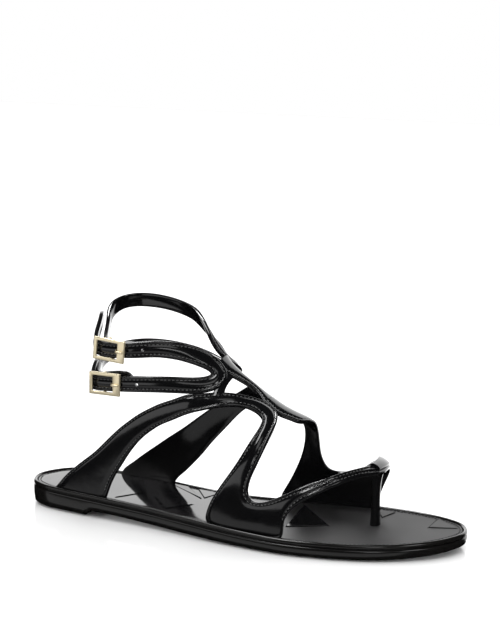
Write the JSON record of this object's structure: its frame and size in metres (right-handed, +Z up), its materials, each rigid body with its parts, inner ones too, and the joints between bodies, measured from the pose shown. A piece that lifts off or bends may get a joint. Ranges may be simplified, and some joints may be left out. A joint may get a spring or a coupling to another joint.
{
  "type": "gladiator sandal",
  "caption": "Flat gladiator thong sandal for the right foot, glossy black, with looping instep straps, a toe post and ankle straps closed by small pale gold buckles.",
  "frame": {"origin": "middle of the part's plan, on the plane that the sole stands on", "axes": "+X to the toe, +Y to the inner (big toe) side, +Z up"},
  "size_m": [0.2598, 0.0844, 0.1205],
  "materials": {
    "sole": "glossy moulded",
    "footbed": "satin moulded",
    "straps": "glossy moulded with dashed seam relief",
    "buckles": "polished pale gold"
  },
  "bodies": {
    "root": {"outsole": "sole", "insole": "footbed", "upper": "straps", "buckle_frame_upper": "buckles", "buckle_prong_upper": "buckles", "buckle_frame_lower": "buckles", "buckle_prong_lower": "buckles"}
  },
  "joints": []
}
